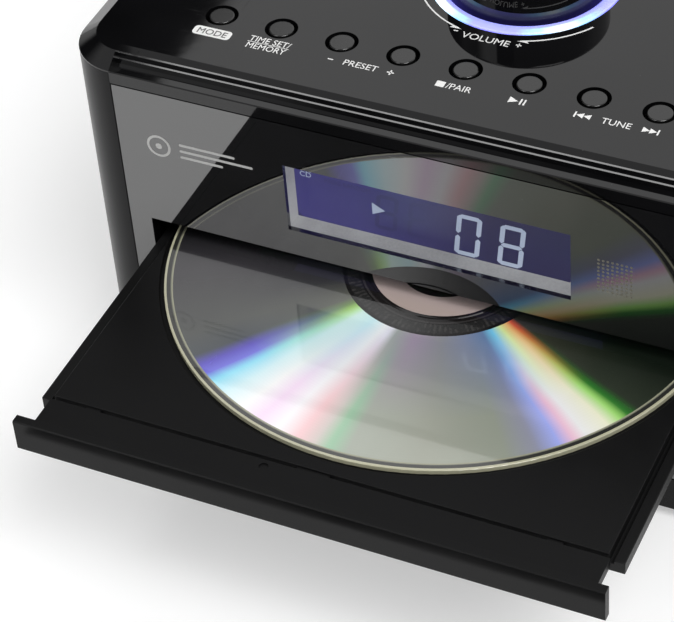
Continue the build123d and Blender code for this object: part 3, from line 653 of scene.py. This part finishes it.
EMBLEM = (-51.5 * MM, 70.2 * MM)
emblem = Print(0.02)
emblem.shape(arc_band(2.5, 0.28, 0, 180, 24), on_front(EMBLEM[0] - 9.5 * MM, EMBLEM[1]))
emblem.shape(arc_band(2.5, 0.28, 180, 360, 24), on_front(EMBLEM[0] - 9.5 * MM, EMBLEM[1]))
emblem.shape(circle(0.75, 20), on_front(EMBLEM[0] - 9.5 * MM, EMBLEM[1]))
for k, length in enumerate((13.0, 17.0, 10.0)):
    emblem.shape(rounded(length, 0.62, 0.3), on_front(EMBLEM[0] + (length / 2 - 4.6) * MM,
                                                    EMBLEM[1] + (1.6 - 1.6 * k) * MM))
emblem.piece("plain_emblem", print_silver)

# ---------------------------------------------------------------- rear printing

rear = Print()
for text, x, z in (("SPEAKERS", -24, 47.6), ("R", -32, 16.6), ("L", -16, 16.6), ("AUX IN", 18, 42.2),
                   ("FM ANT", 40, 42.2), ("DC IN", 54, 27.6)):
    rear.text(text, 2.2, on_rear(x * MM, z * MM), 0.92)
rear.piece("rear_legend", print_white)

# ---------------------------------------------------------------- stage and light

floor_mesh = bpy.data.meshes.new("floor")
size = 6.0
corners = [(-size, -size, 0), (size, -size, 0), (size, size, 0), (-size, size, 0)]
floor_mesh.from_pydata(corners, [], [(0, 1, 2, 3)])
floor = bpy.data.objects.new("floor", floor_mesh)
bpy.context.scene.collection.objects.link(floor)
floor_net = Net("floor_white")
floor_tone = floor_net.blend(floor_net.noise(400.0, 2.0), (0.62, 0.62, 0.62, 1.0), (0.65, 0.65, 0.65, 1.0))
floor_mesh.materials.append(floor_net.finish(Base_Color=floor_tone, Roughness=0.7, Specular_IOR_Level=0.2,
                                              Emission_Color=(1, 1, 1, 1), Emission_Strength=0.42))

world = bpy.data.worlds.new("studio")
bpy.context.scene.world = world
world.use_nodes = True
wt = world.node_tree
wt.nodes.clear()


class WorldNet(Net):
    def __init__(self, tree):
        self.tree = tree
        self.coords = tree.nodes.new("ShaderNodeTexCoord").outputs["Generated"]


wn = WorldNet(wt)


def times(a, b):
    return wn.math("MULTIPLY", a, b)


def band(value, start, full, fade, end):
    """1 from full to fade, falling smoothly to 0 at start and at end."""
    return times(wn.remap(value, start, full, smooth=True), wn.remap(value, fade, end, 1, 0, True))


def without(level, mask, part):
    """The level with a part of it taken away where the mask is 1."""
    return times(level, wn.math("SUBTRACT", 1.0, times(mask, part)))


# directions in degrees: azimuth is 0 at the back and negative on the left, and rise is above the horizon
sky = wn.node("SeparateXYZ", {0: wn.coords})
sky_x, sky_y, sky_z = sky.outputs
azimuth = times(wn.math("ARCTAN2", sky_x, sky_y), 180 / math.pi)
rise = times(wn.math("ARCSINE", sky_z), 180 / math.pi)

# a broad soft box behind and a dark flag beside it on the left share one sharp, leaning edge
EDGE = (-30.3, -30.0)
EDGE_RISE, EDGE_LEAN = 35.6, 1.36
lean = wn.math("ADD", azimuth, times(wn.math("SUBTRACT", rise, EDGE_RISE), EDGE_LEAN))
behind = times(wn.remap(lean, *EDGE, smooth=True), wn.remap(azimuth, 50, 80, 1, 0, True))
behind = times(behind, band(rise, 6, 16, 52, 60))
flag = times(wn.remap(lean, *EDGE, 1, 0, True), wn.remap(azimuth, -100, -80, smooth=True))
flag = times(flag, band(rise, 8, 18, 60, 75))

# in front: a bright patch, a brighter strip over it that the narrow bevels catch, and a dim side
PATCH_EDGE = (-156.5, -153.5)
front = times(band(azimuth, *PATCH_EDGE, -140, -120), band(rise, 24, 32, 46, 50))
strip = times(band(azimuth, -148, -142, -122, -121), band(rise, 56, 59, 70, 74))
dim = times(wn.remap(azimuth, *PATCH_EDGE, 1, 0, True), wn.remap(rise, 5, 20, smooth=True))

level = wn.math("ADD", 0.5, times(behind, 0.5))
level = wn.math("ADD", level, times(front, 3.4))
level = wn.math("ADD", level, times(strip, 6.5))
level = without(without(level, dim, 0.75), flag, 0.98)
room = wn.node("Background", {"Color": (1, 1, 1, 1), "Strength": level})
plain = wn.node("Background", {"Color": (0.93, 0.93, 0.93, 1), "Strength": 1.0})
seen = wt.nodes.new("ShaderNodeLightPath").outputs["Is Camera Ray"]
mix = wn.node("MixShader", {0: seen, 1: room.outputs[0], 2: plain.outputs[0]})
wt.links.new(mix.outputs[0], wt.nodes.new("ShaderNodeOutputWorld").inputs[0])


def softbox(name, at, aim, size, power):
    light = bpy.data.lights.new(name, "AREA")
    light.shape = "SQUARE"
    light.size = size
    light.energy = power
    obj = bpy.data.objects.new(name, light)
    bpy.context.scene.collection.objects.link(obj)
    obj.location = at
    obj.rotation_mode = "QUATERNION"
    obj.rotation_quaternion = (Vector(aim) - Vector(at)).to_track_quat("-Z", "Y")
    return obj


softbox("key", (0.75, -0.55, 1.35), (0, 0, 0.05), 0.8, 17.0)

# a dark card in front, only for reflections: the glossy front looks past the tray into a dark room
TRAY_LO, TRAY_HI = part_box("tray_plate")
card_mesh = bpy.data.meshes.new("dark_card")
x0, x1 = TRAY_LO.x + 1.5 * MM, 1.2
y0, y1 = -1.2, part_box("tray_door")[0].y - 1 * MM
z = TRAY_HI.z - 2 * MM
card_mesh.from_pydata([(x0, y0, z), (x1, y0, z), (x1, y1, z), (x0, y1, z)], [], [(0, 1, 2, 3)])
card = bpy.data.objects.new("dark_card", card_mesh)
bpy.context.scene.collection.objects.link(card)
card_net = Net("card_black")
card_black = card_net.finish(Base_Color=(0.002, 0.002, 0.002, 1), Roughness=1.0, Specular_IOR_Level=0.0)
card_mesh.materials.append(card_black)
card.visible_camera = card.visible_diffuse = False
card.visible_shadow = card.visible_transmission = False

bpy.context.scene.view_settings.view_transform = "Standard"
bpy.context.scene.view_settings.look = "None"
